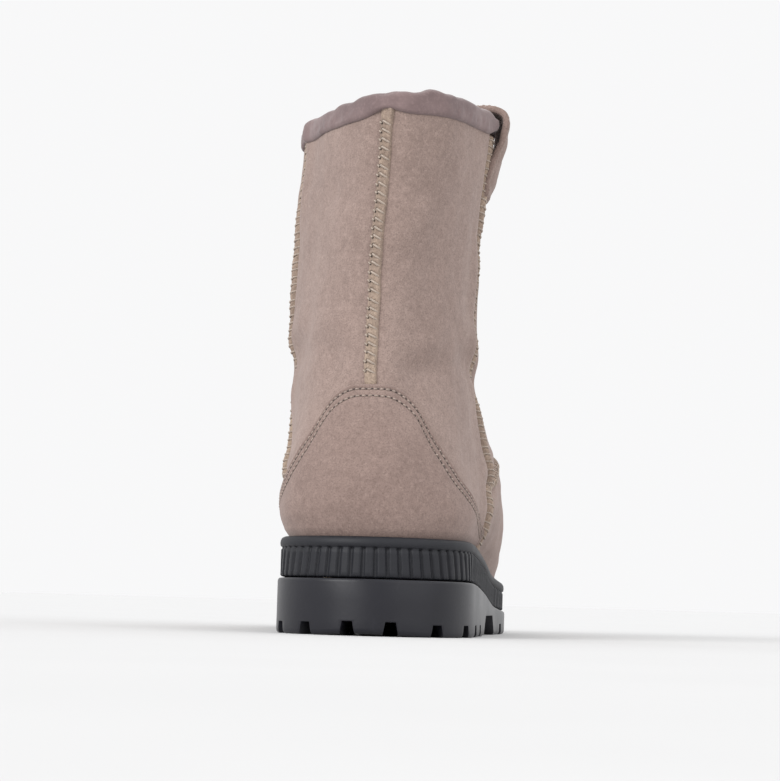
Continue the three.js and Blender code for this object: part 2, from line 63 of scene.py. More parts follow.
PLAN = table("u half centre", [
    (0, 41.5, -0.8), (30, 41.2, -1.1), (60, 41.3, -3.1), (100, 41.5, -5.4), (150, 46, -4.4),
    (190, 54, -0.8), (235, 54.3, 1.8), (284, 54, 3.7)])
PROFILE = table("u top band", [
    (0, 40, 17), (50, 39.5, 17), (100, 35.2, 16), (150, 28, 14.5), (190, 24.6, 13.6), (235, 25, 13.4),
    (284, 31, 13.4)])
ROUND_BACK, ROUND_FRONT = 45.0, 85.0
UPPER = table("backU backZ frontU frontZ heel waist ball roundBack roundFront follow", [
    (4.4, 43.6, 279.6, 34.6, 37.6, 39.5, 49.6, 41, 81, 1),
    (2.6, 50.5, 281, 41.5, 39.8, 45, 51.8, 42, 82, 0.9),
    (2.6, 61, 280, 52, 39.6, 48.5, 51.8, 43, 82, 0.75),
    (5.4, 74, 273, 63.5, 38.4, 48.4, 49.4, 44, 80, 0.55),
    (8.8, 86, 259, 73.5, 37.4, 46.4, 45, 46, 78, 0.4),
    (11.6, 97, 238, 83, 36.8, 43.6, 41, 49, 76, 0.25),
    (13, 107.5, 214, 95, 36.8, 41, 38.4, 54, 75, 0.12),
    (13, 119, 192.5, 110, 37.2, 39.4, 37.4, 62, 75, 0.04),
    (12.2, 132, 177, 128, 38, 39.2, 37.6, 70, 75, 0),
    (11, 148, 168.5, 147.5, 38.8, 39.6, 38.4, 74, 75, 0),
    (9.6, 169, 163, 170, 39, 39.6, 38.8, 75, 76, 0),
    (8.2, 196, 160, 198, 38.4, 39, 38.4, 75, 76, 0),
    (7, 222, 158.5, 223, 37.6, 38.2, 37.6, 75, 75, 0)])
WEAR = table("z twist slant shift outerPeak innerPeak", [
    (110, 0, 0, 0, 0, 0), (132, 1, 0, 0.2, 0, 0), (169, 3, 1.5, -0.4, 0.8, 0.2),
    (196, 4.5, 3, -1.2, 2.4, 0.6), (222, 5.5, 4, -2, 4.4, 1.2)])
SPOTS = (0, 0.16, 0.42, 0.72, 1)
SEAM_SPOT = 0.38
TOP = len(UPPER["heel"]) - 1
# A level is a row of UPPER, and may be a fraction. One level is about this many millimetres up the wall, near
# the collar and at the heel.
COLLAR_LEVEL, HEEL_LEVEL = 26.0, 11.0


# ------------ curves
def blend(t, span, y0, slope0, y1, slope1):
    """Smooth curve over one span, from its heights and slopes at both ends."""
    t2, t3 = t * t, t * t * t
    return ((2 * t3 - 3 * t2 + 1) * y0 + (t3 - 2 * t2 + t) * span * slope0
            + (3 * t2 - 2 * t3) * y1 + (t3 - t2) * span * slope1)


def through(xs, ys, x):
    """Smooth curve through points, the same one the solids use."""
    xs, ys, x = np.asarray(xs, float), np.asarray(ys, float), np.asarray(x, float)
    n = len(xs)
    k = np.arange(n)
    before, after = np.maximum(k - 1, 0), np.minimum(k + 1, n - 1)
    slope = (ys[after] - ys[before]) / (xs[after] - xs[before])
    i = np.clip(np.searchsorted(xs, x, "right") - 1, 0, n - 2)
    span = xs[i + 1] - xs[i]
    t = np.clip((x - xs[i]) / span, 0, 1)
    return blend(t, span, ys[i], slope[i], ys[i + 1], slope[i + 1])


def cap(distance, length):
    """Rounds off an end: 0 at the end, 1 a length away from it."""
    t = np.clip(distance / length, 0, 1)
    return np.sqrt(np.maximum(1 - (1 - t) ** 2, 0))


def sole_top(u):
    return through(PROFILE["u"], PROFILE["top"], u)


def part_line(u):
    return sole_top(u) - through(PROFILE["u"], PROFILE["band"], u)


def ground(u):
    strike = np.maximum(0, 1 - u / STRIKE_LENGTH)
    spring = np.maximum(0, (u - TOE_BREAK) / (SOLE_LENGTH - TOE_BREAK))
    return STRIKE_LIFT * strike ** 2 + TOE_SPRING * spring ** 2


def place(u, x, z):
    """Points at stations forward from the heel, side distances and heights."""
    u, x, z = np.broadcast_arrays(u, x, z)
    return np.stack([x, SOLE_LENGTH / 2 - u, z], -1)


def run_along(points):
    """Distance along a path at each of its points."""
    return np.concatenate([[0], np.cumsum(np.linalg.norm(np.diff(points, axis=0), axis=1))])


def sole_plan(q, inset):
    """Station and side distance of the sole's outline. q is 0 behind, +-1 at the toe, negative outside."""
    q = (np.asarray(q, float) + 1) % 2 - 1
    t = np.abs(q)
    length = SOLE_LENGTH - 2 * inset
    along = length * (1 - np.cos(np.pi * t)) / 2
    u = along + inset
    ends = cap(along, ROUND_BACK - inset) * cap(length - along, ROUND_FRONT - inset)
    half = (through(PLAN["u"], PLAN["half"], u) - inset) * ends
    return u, through(PLAN["u"], PLAN["centre"], u) + np.where(q < 0, -1, 1) * half


def on_sole(q, inset, rise, height=sole_top):
    """Points on the sole's outline, moved in by an inset, and a rise above its top or another height."""
    u, x = sole_plan(q, inset)
    return place(u, x, height(u) + rise)


def ring_q(count):
    """q values evenly spaced round the sole's edge, and the length of the edge."""
    q = np.linspace(-1, 1, 4001)
    run = run_along(place(*sole_plan(q, 0.0), 0))
    return np.interp(np.linspace(0, run[-1], count, endpoint=False), run, q), run[-1]


# ------------ the upper's form
def column(name, level):
    return through(np.arange(TOP + 1), UPPER[name], level)


def upper_base(level, q):
    """Plain outside of the upper, as the solids have it."""
    level, q = floats(level, q)
    q = (q + 1) % 2 - 1
    side, t = np.where(q < 0, -1.0, 1.0), np.abs(q)
    u0, z0, u1, z1 = (column(c, level) for c in ("backU", "backZ", "frontU", "frontZ"))
    wear = {c: through(WEAR["z"], WEAR[c], z0) for c in ("twist", "slant", "shift", "outerPeak", "innerPeak")}
    length = np.hypot(u1 - u0, z1 - z0)
    share = (1 - np.cos(np.pi * t)) / 2
    along = length * share
    h, w, b = (column(c, level) for c in ("heel", "waist", "ball"))
    ends = cap(along, column("roundBack", level)) * cap(length - along, column("roundFront", level))
    half = spread(share, h, w, b) * ends
    peak = np.where(side < 0, wear["outerPeak"], wear["innerPeak"])
    half = half + peak * np.exp(-np.abs((share - SEAM_SPOT) / 0.14) ** 1.4)
    u = u0 + (u1 - u0) * share
    follow = column("follow", level)
    chord = sole_top(0) + (sole_top(SOLE_LENGTH) - sole_top(0)) * (u / SOLE_LENGTH)
    turn, tip = np.sin(np.radians(wear["twist"])), np.sin(np.radians(wear["slant"]))
    x = through(PLAN["u"], PLAN["centre"], u) * follow + side * half
    z = z0 + (z1 - z0) * share + (sole_top(u) - chord) * follow - side * half * tip
    return place(u, x + (u - (u0 + u1) / 2) * turn + wear["shift"], z)


def spread(share, heel, waist, ball):
    """Half width at a share of the length: the same curve as through(), with a row of heights per point."""
    ys, xs = [heel, heel, waist, ball, ball], SPOTS
    out = np.zeros_like(share)
    for i in range(4):
        a, b = max(i - 1, 0), min(i + 2, 4)
        s0 = (ys[i + 1] - ys[a]) / (xs[i + 1] - xs[a])
        s1 = (ys[b] - ys[i]) / (xs[b] - xs[i])
        span = xs[i + 1] - xs[i]
        y = blend(np.clip((share - xs[i]) / span, 0, 1), span, ys[i], s0, ys[i + 1], s1)
        out = np.where((share >= xs[i]) & (share <= xs[i + 1]), y, out)
    return out


def floats(a, b):
    return np.broadcast_arrays(np.asarray(a, float), np.asarray(b, float))


def unit(v):
    return v / np.maximum(np.linalg.norm(v, axis=-1, keepdims=True), 1e-9)


T_FINE = np.linspace(-1, 1, 1601)


def even_round(level, count):
    """q values evenly spaced round the upper at a level, their distances, and the distances of T_FINE."""
    run = run_along(upper_base(level, T_FINE))
    s = np.linspace(0, run[-1], count, endpoint=False)
    return np.interp(s, run, T_FINE), s, run


def upper_normal(level, q):
    """Outward normal of the plain upper."""
    level = np.asarray(level, float)
    up = upper_base(np.minimum(level + 0.03, TOP), q) - upper_base(np.maximum(level - 0.03, 0), q)
    across = upper_base(level, np.asarray(q) + 0.006) - upper_base(level, np.asarray(q) - 0.006)
    return unit(np.cross(up, across))


LEVELS = np.linspace(0, TOP, 121)
ROUNDS = np.linspace(-230, 230, 461)


def round_table():
    """q at each level and distance round from the back: outer side negative."""
    t = np.linspace(0, 1, 240)
    out = np.zeros((len(LEVELS), len(ROUNDS)))
    for i, level in enumerate(LEVELS):
        for sign, pick in ((-1, ROUNDS <= 0), (1, ROUNDS > 0)):
            q = sign * np.maximum(t, 1e-6)
            out[i, pick] = sign * np.interp(np.abs(ROUNDS[pick]), run_along(upper_base(level, q)), t)
    return out


Q_TABLE = round_table()


def q_at(level, r):
    """q at a level and distance round from the back, from the table."""
    level, r = floats(level, r)
    a = np.clip(level / TOP * (len(LEVELS) - 1), 0, len(LEVELS) - 1.001)
    b = np.clip((r - ROUNDS[0]) / (ROUNDS[1] - ROUNDS[0]), 0, len(ROUNDS) - 1.001)
    i, j = a.astype(int), b.astype(int)
    fa, fb = a - i, b - j
    return ((Q_TABLE[i, j] * (1 - fb) + Q_TABLE[i, j + 1] * fb) * (1 - fa)
            + (Q_TABLE[i + 1, j] * (1 - fb) + Q_TABLE[i + 1, j + 1] * fb) * fa)


def level_at_height(z, r):
    """Level at a height and distance round from the back."""
    z, r = floats(z, r)
    low, high = np.zeros(z.shape), np.full(z.shape, float(TOP))
    for _ in range(18):
        mid = (low + high) / 2
        below = upper_base(mid, q_at(mid, r))[..., 2] < z
        low, high = np.where(below, mid, low), np.where(below, high, mid)
    return low


def on_side(side, u, z):
    """(level, q) of the point on one side at a station and height."""
    u, z = floats(u, z)
    low, high = np.zeros(u.shape), np.full(u.shape, float(TOP))
    t = np.full(u.shape, 0.4)
    for _ in range(18):
        mid = (low + high) / 2
        a, b = np.zeros(u.shape), np.ones(u.shape)
        for _ in range(16):
            t = (a + b) / 2
            short = SOLE_LENGTH / 2 - upper_base(mid, side * t)[..., 1] < u
            a, b = np.where(short, t, a), np.where(short, b, t)
        below = upper_base(mid, side * t)[..., 2] < z
        low, high = np.where(below, mid, low), np.where(below, high, mid)
    return low, side * t


# ------------ seam paths: (level, q) along each
def side_seam(side):
    rows = table("z u", [(219, 66), (200, 66.5), (170, 68.5), (140, 72), (110, 77.5), (85, 83), (64, 88.5)])
    if side > 0:
        rows["u"] = rows["u"] + 1.5
    s = np.linspace(0, 1, 160)
    z = rows["z"][0] + (rows["z"][-1] - rows["z"][0]) * s
    return on_side(side, np.interp(z, rows["z"][::-1], rows["u"][::-1]), z)


def low_seam(side):
    z = np.linspace(65.2, 40.5, 40)
    return on_side(side, np.interp(z, [40, 52, 65.2], [81.5, 80, 80.8]), z)


def vamp_seam(side):
    tau = np.linspace(0, 1, 180)
    start_level, start_q = on_side(side, np.array([80.5]), np.array([63.5]))
    t = abs(start_q[0]) + (1 - abs(start_q[0])) * tau
    level = start_level[0] + (6.45 - start_level[0]) * (1 - (1 - tau) ** 2.3)
    return level, side * t


def back_seam():
    z = np.linspace(221, 101.6, 130)
    r = np.interp(z, [99, 160, 222], [0.6, 3.2, 5.8])
    level = level_at_height(z, r)
    return level, q_at(level, r)


SEAMS = {
    "back": back_seam(),
    "outer": side_seam(-1), "inner": side_seam(1),
    "outer_low": low_seam(-1), "inner_low": low_seam(1),
    "outer_vamp": vamp_seam(-1), "inner_vamp": vamp_seam(1),
}
SEAM_POINTS = {name: upper_base(*path) for name, path in SEAMS.items()}


def nearest(points, path):
    """Distance from each point to a path, or 99 where it is far."""
    flat = points.reshape(-1, 3)
    lo, hi = path.min(0) - 16, path.max(0) + 16
    out = np.full(len(flat), 99.0)
    near = np.nonzero(np.all((flat > lo) & (flat < hi), axis=1))[0]
    for chunk in np.array_split(near, max(1, len(near) // 4000)):
        if len(chunk):
            out[chunk] = np.sqrt(((flat[chunk][:, None] - path[None, ::2]) ** 2).sum(-1)).min(1)
    return out.reshape(points.shape[:-1])


# ------------ soft form: lumps, creases, seam hollows
def lumps(p, seed, length, count=14):
    """Smooth wandering between about -1 and 1, with features of roughly the given length."""
    g = np.random.default_rng(seed)
    d = unit(g.normal(size=(count, 3)))
    k = 2 * math.pi / (length * g.uniform(0.7, 1.5, count))
    ph = g.uniform(0, 2 * math.pi, count)
    return np.sin((p @ d.T) * k + ph).sum(-1) / math.sqrt(count)


# Main creases: a soft trough with a ridge along its upper side, from (a0, z0) to (a1, z1). On side -1 or 1,
# the outer or inner side of the boot, a is the station. On side 0, behind, it is the side distance.
CREASES = table("side a0 z0 a1 z1 bow width depth", [
    (-1, 40, 118, 96, 104, 4, 7, 2.4), (-1, 96, 128, 176, 112, 8, 6.5, 2.4),
    (-1, 118, 108, 196, 94, 7, 6, 1.92), (1, 34, 121, 92, 110, 3, 7, 2.08),
    (1, 92, 126, 176, 113, 8, 6.5, 2.24), (1, 120, 106, 196, 95, 7, 6, 1.92),
    (-1, 60, 172, 110, 160, 5, 9, 1.6), (1, 96, 184, 140, 170, 4, 9, 1.44),
    (0, -36, 118, -8, 108, -3, 6, 1.76), (0, 10, 112, 36, 120, 3, 6, 1.44),
    (0, -34, 168, -12, 152, -3, 9, 1.12), (0, 14, 190, 34, 172, 3, 9, 0.96)])


def creases(p, side):
    """Offset of the creases at points on a side of the boot."""
    out = np.zeros(p.shape[:-1])
    u, x, z = SOLE_LENGTH / 2 - p[..., 1], p[..., 0], p[..., 2]
    for where, a0, z0, a1, z1, bow, width, depth in zip(*CREASES.values()):
        if where:
            a, here = u, np.clip((side * where * np.abs(x) - 4) / 14, 0, 1)
        else:
            a, here = x, np.clip((46 - u) / 20, 0, 1)
        da, dz = a1 - a0, z1 - z0
        length = math.hypot(da, dz)
        s = ((a - a0) * da + (z - z0) * dz) / length ** 2
        d = ((z - z0) * da - (a - a0) * dz) / length - bow * 4 * s * (1 - s) * np.sign(da)
        fade = np.clip(s / 0.3, 0, 1) * np.clip((1 - s) / 0.3, 0, 1)
        fade = fade * fade * (3 - 2 * fade)
        form = 0.55 * np.exp(-((d - 1.7 * width) / width) ** 2) - np.exp(-(d / width) ** 2)
        out += depth * here * fade * form
    return out


def even(hollow, puff):
    return table("z hollow puff", [(0, hollow, puff), (240, hollow, puff)])


# Depth of the hollow that a seam lies in, and of the puffed leather beside it, at heights up the boot.
PUFFS = {
    "back": even(0.9, 0.5),
    "outer": table("z hollow puff", [
        (60, 0.9, 0.5), (92, 0.9, 0.5), (108, 1.6, 1.5), (158, 1.6, 1.5), (176, 1.1, 0.5), (240, 1.1, 0.5)]),
    "inner": table("z hollow puff", [
        (60, 0.9, 0.5), (88, 0.9, 0.5), (102, 1.6, 1.5), (118, 1.3, 1.1), (134, 0.8, 0.3), (172, 0.8, 0.3),
        (192, 1.6, 1.7), (240, 1.6, 1.9)]),
    "outer_low": even(0.8, 0.4), "inner_low": even(0.8, 0.4),
    "outer_vamp": even(1.0, 0.55), "inner_vamp": even(1.0, 0.55),
}


def soft(level, q, p):
    """Offset along the normal that turns the plain form into leather over fleece."""
    side = np.where(((np.asarray(q) + 1) % 2 - 1) < 0, -1.0, 1.0)
    fade = np.clip(np.asarray(level, float) / 1.2, 0, 1)
    out = 0.55 * lumps(p, 3, 46) + 0.22 * lumps(p, 5, 19) + 0.07 * lumps(p, 8, 8)
    out = out + creases(p, side)
    for name, rows in PUFFS.items():
        d = nearest(p, SEAM_POINTS[name])
        hollow, puff = (np.interp(p[..., 2], rows["z"], rows[c]) for c in ("hollow", "puff"))
        out = out - hollow * np.exp(-(d / 3.6) ** 2) + puff * np.exp(-((d - 8.5) / 5) ** 2)
    return out * fade


def upper_surface(level, q, softness=1.0):
    """Soft outside of the upper, and its normals."""
    p, n = upper_base(level, q), upper_normal(level, q)
    return p + n * (soft(level, q, p) * softness)[..., None], n


# ------------ mesh building
def add_object(name, data):
    obj = bpy.data.objects.new(name, data)
    bpy.context.scene.collection.objects.link(obj)
    return obj


def mesh_object(name, verts, faces, material, smooth=True):
    mesh = bpy.data.meshes.new(name)
    verts = np.asarray(verts, float).reshape(-1, 3) * MM
    faces = np.asarray(faces, np.int32)
    mesh.vertices.add(len(verts))
    mesh.vertices.foreach_set("co", verts.ravel())
    mesh.loops.add(faces.size)
    mesh.loops.foreach_set("vertex_index", faces.ravel())
    mesh.polygons.add(len(faces))
    mesh.polygons.foreach_set("loop_start", np.arange(0, faces.size, faces.shape[1], dtype=np.int32))
    mesh.polygons.foreach_set("use_smooth", np.full(len(faces), smooth))
    mesh.update(calc_edges=True)
    mesh.validate()
    mesh.materials.append(material)
    return add_object(name, mesh)


def grid_faces(rows, cols, wrap_cols=False, wrap_rows=False):
    """Quads of a grid of points."""
    r = np.arange(rows if wrap_rows else rows - 1)
    c = np.arange(cols if wrap_cols else cols - 1)
    r, c = np.meshgrid(r, c, indexing="ij")
    r1, c1 = (r + 1) % rows, (c + 1) % cols
    return np.stack([r * cols + c, r * cols + c1, r1 * cols + c1, r1 * cols + c], -1).reshape(-1, 4)


def loft(name, grid, material, wrap_cols=False, wrap_rows=False, flip=False):
    faces = grid_faces(grid.shape[0], grid.shape[1], wrap_cols, wrap_rows)
    return mesh_object(name, grid, faces[:, ::-1] if flip else faces, material)


class Bits:
    """Many small meshes joined into one."""

    def __init__(self):
        self.verts, self.faces, self.count = [], [], 0

    def add(self, verts, faces):
        self.verts.append(verts.reshape(-1, 3))
        self.faces.append(faces + self.count)
        self.count += len(self.verts[-1])

    def tubes(self, paths, radius, sides=6, taper=0.35):
        """A tube along each path; paths are (many, points, 3)."""
        k, m = paths.shape[:2]
        tangent = unit(np.gradient(paths, axis=1))
        ref = np.where(np.abs(tangent[..., 2:3]) < 0.8, np.array([0, 0, 1.0]), np.array([1.0, 0, 0]))
        a = unit(np.cross(tangent, ref))
        b = np.cross(tangent, a)
        ang = np.arange(sides) * 2 * math.pi / sides
        r = np.full(m, radius, float)
        r[0] = r[-1] = radius * taper
        cos, sin = np.cos(ang)[:, None], np.sin(ang)[:, None]
        ring = a[:, :, None] * cos + b[:, :, None] * sin
        verts = paths[:, :, None] + ring * r[None, :, None, None]
        one = grid_faces(m, sides, wrap_cols=True)
        faces = (one[None] + (np.arange(k) * m * sides)[:, None, None]).reshape(-1, 4)
        self.add(verts, faces)

    def build(self, name, material, smooth=True):
        return mesh_object(name, np.concatenate(self.verts), np.concatenate(self.faces), material, smooth)


# ------------ materials
class Nodes:
    def __init__(self, name):
        self.mat = bpy.data.materials.new(name)
        self.mat.use_nodes = True
        self.tree = self.mat.node_tree
        self.bsdf = next(n for n in self.tree.nodes if n.type == "BSDF_PRINCIPLED")
        self.bsdf.inputs["Metallic"].default_value = 0.0
        self.coords = self.add("ShaderNodeTexCoord").outputs["Object"]

    def feed(self, socket, value):
        """Links another node's output to a socket, or gives it a fixed value."""
        if isinstance(value, bpy.types.NodeSocket):
            self.tree.links.new(value, socket)
        else:
            socket.default_value = value

    def add(self, kind, **inputs):
        node = self.tree.nodes.new(kind)
        for key, value in inputs.items():
            self.feed(node.inputs[key], value)
        return node

    def set(self, **values):
        for key, value in values.items():
            self.bsdf.inputs[key.replace("_", " ")].default_value = value

    def to(self, socket, name):
        self.tree.links.new(socket, self.bsdf.inputs[name])

    def noise(self, scale, detail, rough, vector=None, distortion=0.0):
        return self.add("ShaderNodeTexNoise", Vector=vector or self.coords, Scale=scale, Detail=detail,
                        Roughness=rough, Distortion=distortion).outputs["Fac"]

    def ramp(self, fac, *stops):
        n = self.add("ShaderNodeValToRGB", Fac=fac)
        e = n.color_ramp.elements
        while len(e) < len(stops):
            e.new(0.5)
        for el, (pos, col) in zip(e, stops):
            el.position, el.color = pos, (*col, 1)
        return n.outputs["Color"]

    def mask(self, fac, low, high, strength, falling=False):
        """0 to a strength between two values of a texture, or from the strength to 0 if falling."""
        stops = [(pos, (grey,) * 3) for pos, grey in zip((low, high), (1, 0) if falling else (0, 1))]
        return self.math("MULTIPLY", self.ramp(fac, *stops), strength)

    def mix(self, fac, a, b):
        n = self.tree.nodes.new("ShaderNodeMix")
        n.data_type = "RGBA"
        for socket, value in ((n.inputs[0], fac), (n.inputs[6], a), (n.inputs[7], b)):
            self.feed(socket, (*value, 1) if isinstance(value, tuple) else value)
        return n.outputs[2]

    def math(self, op, a, b=0.0, c=0.0):
        n = self.tree.nodes.new("ShaderNodeMath")
        n.operation = op
        for socket, value in zip(n.inputs, (a, b, c)):
            self.feed(socket, value)
        return n.outputs[0]

    def bump(self, height, strength, distance, normal=None):
        n = self.add("ShaderNodeBump", Height=height, Strength=strength, Distance=distance * MM)
        if normal:
            self.tree.links.new(normal, n.inputs["Normal"])
        return n.outputs["Normal"]

    def stretched(self, scale):
        return self.add("ShaderNodeMapping", Vector=self.coords, Scale=scale).outputs["Vector"]


def tone(colour, factor, lift=0.0, most=1.0):
    return tuple(min(most, c * factor + lift) for c in colour)


def suede(name, base, shade, light, nap=1.0):
    """Brushed leather: mottled colour, short nap, no shine."""
    m = Nodes(name)
    broad = m.noise(18, 3, 0.55, distortion=0.4)
    patch = m.noise(80, 4, 0.6)
    blotch = m.noise(330, 4, 0.7, distortion=0.3)
    fine = m.noise(820, 3, 0.7)
    grit = m.noise(1700, 2, 0.6)
    col = m.ramp(broad, (0.3, shade), (0.5, base), (0.7, light))
    for texture, low, high, strength, falling, colour in (
            (patch, 0.45, 0.75, 0.3, False, shade),
            (blotch, 0.5, 0.7, 0.55, False, tone(shade, 0.84)),
            (blotch, 0.3, 0.49, 0.45, True, tone(light, 1.15)),
            (fine, 0.52, 0.76, 0.42, False, tone(light, 1.35, 0.03)),
            (grit, 0.3, 0.52, 0.5, True, tone(shade, 0.52))):
        col = m.mix(m.mask(texture, low, high, strength, falling), col, colour)
    m.to(col, "Base Color")
    m.set(Roughness=0.95, Specular_IOR_Level=0.12, Sheen_Weight=0.22, Sheen_Roughness=0.5,
          Sheen_Tint=(0.95, 0.86, 0.84, 1))
    b = None
    for texture, strength, depth in (
            (patch, 0.35, 0.35), (blotch, 0.4, 0.22), (fine, 0.55, 0.22), (grit, 0.5, 0.1)):
        b = m.bump(texture, strength * nap, depth, b)
    m.to(b, "Normal")
    return m.mat


def rubber(name, base, rough):
    """Moulded rubber, a little dusty and scuffed."""
    m = Nodes(name)
    broad = m.noise(30, 4, 0.6)
    speck = m.noise(900, 2, 0.5)
    streak = m.noise(160, 4, 0.7, m.stretched((1, 1, 0.25)))
    col = m.mix(m.math("MULTIPLY", broad, 0.5), base, tone(base, 1.7, 0.004))
    col = m.mix(m.mask(streak, 0.6, 0.85, 0.175), col, tone(base, 3, 0.02))
    m.to(col, "Base Color")
    r = m.math("MULTIPLY_ADD", broad, 0.22, rough - 0.1)
    m.to(m.math("ADD", r, m.math("MULTIPLY", speck, 0.06)), "Roughness")
    m.set(Specular_IOR_Level=0.3)
    m.to(m.bump(broad, 0.2, 0.6, m.bump(speck, 0.25, 0.08)), "Normal")
    return m.mat


def thread(name, base):
    m = Nodes(name)
    twist = m.noise(1400, 2, 0.5, m.stretched((1, 1, 2.5)))
    m.to(m.ramp(twist, (0.3, tone(base, 0.55)), (0.6, base)), "Base Color")
    m.set(Roughness=0.75, Sheen_Weight=0.2)
    m.to(m.bump(twist, 0.6, 0.15), "Normal")
    return m.mat


def fleece(name, base):
    m = Nodes(name)
    curl = m.noise(260, 5, 0.7, distortion=1.2)
    broad = m.noise(40, 3, 0.5)
    col = m.ramp(curl, (0.3, tone(base, 0.86)), (0.6, base), (0.8, tone(base, 1.08, most=0.95)))
    m.to(m.mix(m.math("MULTIPLY", broad, 0.3), col, tone(base, 0.8)), "Base Color")
    m.set(Roughness=1.0, Sheen_Weight=0.4)
    m.to(m.bump(curl, 0.3, 0.4), "Normal")
    return m.mat


def woven(name, base, shade):
    """Close cloth-like tape."""
    m = Nodes(name)
    weave = m.add("ShaderNodeTexWave", Vector=m.coords, Scale=420, Distortion=1.5, Detail=2)
    broad = m.noise(60, 4, 0.6)
    fine = m.noise(900, 3, 0.6)
    col = m.ramp(broad, (0.3, shade), (0.65, base))
    m.to(m.mix(m.mask(fine, 0.5, 0.8, 0.35), col, tone(base, 1.6)), "Base Color")
    m.set(Roughness=0.92, Specular_IOR_Level=0.15, Sheen_Weight=0.25)
    m.to(m.bump(fine, 0.5, 0.12, m.bump(weave.outputs["Fac"], 0.1, 0.1)), "Normal")
    return m.mat


SUEDE = suede("suede", (0.282, 0.209, 0.183), (0.244, 0.179, 0.156), (0.316, 0.238, 0.209))
SUEDE_COUNTER = suede("suede_counter", (0.243, 0.176, 0.154), (0.210, 0.150, 0.131), (0.274, 0.202, 0.177))
BINDING = woven("binding_cloth", (0.205, 0.147, 0.144), (0.140, 0.099, 0.099))
RAW_EDGE = suede("raw_edge", (0.320, 0.243, 0.196), (0.235, 0.175, 0.140), (0.400, 0.308, 0.235), nap=1.6)
THREAD = thread("thread", (0.43, 0.35, 0.29))
THREAD_FINE = thread("thread_fine", (0.36, 0.28, 0.24))
# Near-black colour for the needle punctures: painted shade, set on small tubes at the leather's surface.
HOLE_SHADE = thread("needle_hole_shade", (0.058, 0.040, 0.034))
FLEECE = fleece("fleece", (0.90, 0.83, 0.74))
RUBBER = rubber("sole_rubber", (0.0105, 0.0105, 0.0145), 0.30)
RUBBER_BAND = rubber("band_rubber", (0.011, 0.0115, 0.015), 0.50)


def finish_piece(obj, slot, *nodes):
    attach(obj, "root")
    if nodes:
        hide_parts(*nodes)


# ------------ upper
# From inside the cup, up the outside, over the collar and down the leather's inner face.
COLS, ROWS, LEATHER = 380, 190, 2.4
levels = TOP * np.linspace(0, 1, ROWS) ** 0.92
grid_q = np.array([even_round(level, COLS)[0] for level in levels])
shell, shell_normal = upper_surface(np.repeat(levels[:, None], COLS, 1), grid_q)
foot = [on_sole(grid_q[0], inset, rise) for inset, rise in ((CUP_INSET, -4.0), (CUP_INSET - 0.1, 0.2))]
inner = [shell[k] - shell_normal[k] * LEATHER for k in range(ROWS - 1, -1, -14)]
upper_grid = np.concatenate([foot, shell, inner])
finish_piece(loft("boot_upper", upper_grid, SUEDE, wrap_cols=True), "suede", "upper")

# ------------ heel counter
EDGE = table("round z", [
    (0, 103), (9, 101.8), (18, 96), (28, 82.5), (40, 71), (56, 60.5), (76, 52), (97, 45.5)])
REACH, COUNTER_THICK, EDGE_ROUND = 97.0, 1.5, 1.4
STITCH_ROWS = (2.6, 5.8)


def counter_top(r):
    return through(EDGE["round"], EDGE["z"], np.abs(r))


c_r = np.linspace(-REACH, REACH, 300)
c_top = level_at_height(counter_top(c_r), c_r)
c_share = np.concatenate([np.linspace(0, 0.93, 60), np.linspace(0.945, 1, 14)])
c_level = c_share[:, None] * c_top
c_q = q_at(c_level, c_r)
plain, c_normal = upper_surface(c_level, c_q)
from_edge = np.minimum((c_top - c_level) * HEEL_LEVEL, (REACH - np.abs(c_r)) * 1.5)
rise = COUNTER_THICK * cap(np.minimum(from_edge, EDGE_ROUND), EDGE_ROUND)
# A bead along the edge, a furrow under each stitch row, and leather puffed between the rows.
for middle, width, height in (
        (1.0, 0.8, 0.25), *((row, 0.75, -0.42) for row in STITCH_ROWS), (4.2, 0.8, 0.18)):
    rise = rise + height * np.exp(-((from_edge - middle) / width) ** 2)
counter = plain + c_normal * (rise + 0.15)[..., None]
c_foot = on_sole(c_q[0], 4.5, -0.1)
foot_rows = [c_foot * f + counter[0] * (1 - f) for f in (1.0, 0.6, 0.25)]
counter = np.concatenate([foot_rows, counter])
finish_piece(loft("heel_counter_leather", counter, SUEDE_COUNTER), "suede", "heel_counter")


def counter_path(inset):
    """Points a distance inside the counter's edge, their normals and distances."""
    r = np.linspace(-REACH + inset, REACH - inset, 1200)
    level = np.maximum(level_at_height(counter_top(r), r) - inset / HEEL_LEVEL, 0.02)
    p, n = upper_surface(level, q_at(level, r))
    return p, n, run_along(p)


def along_path(values, run, s):
    """Points or directions at distances along a path."""
    return np.stack([np.interp(s, run, values[:, k]) for k in range(3)], -1)


def sample(p, n, run, s):
    return along_path(p, run, s), unit(along_path(n, run, s))


stitches, hole_shades = Bits(), Bits()
PITCH = 2.45
STITCH = np.linspace(-1, 1, 5)
for inset in STITCH_ROWS:
    p, n, run = counter_path(inset)
    at = np.arange(1.5, run[-1] - 1.5, PITCH)[:, None]
    path, normal = sample(p, n, run, at + STITCH * 0.30 * PITCH)
    stitches.tubes(path + normal * (1.22 + 0.36 * (1 - STITCH ** 2))[:, None], radius=0.42)
    # Two near-black tubes in each gap between stitches, at the surface: painted shade of the needle
    # punctures.
    shade_spot, shade_spot_normal = sample(p, n, run, at[:-1] + PITCH / 2 + np.array([-0.34, 0.34]))
    hole_shades.tubes(shade_spot + shade_spot_normal * 1.13, radius=0.58, taper=0.8)
finish_piece(stitches.build("counter_stitching", THREAD_FINE), "suede")
finish_piece(hole_shades.build("counter_needle_hole_shades", HOLE_SHADE), "suede")

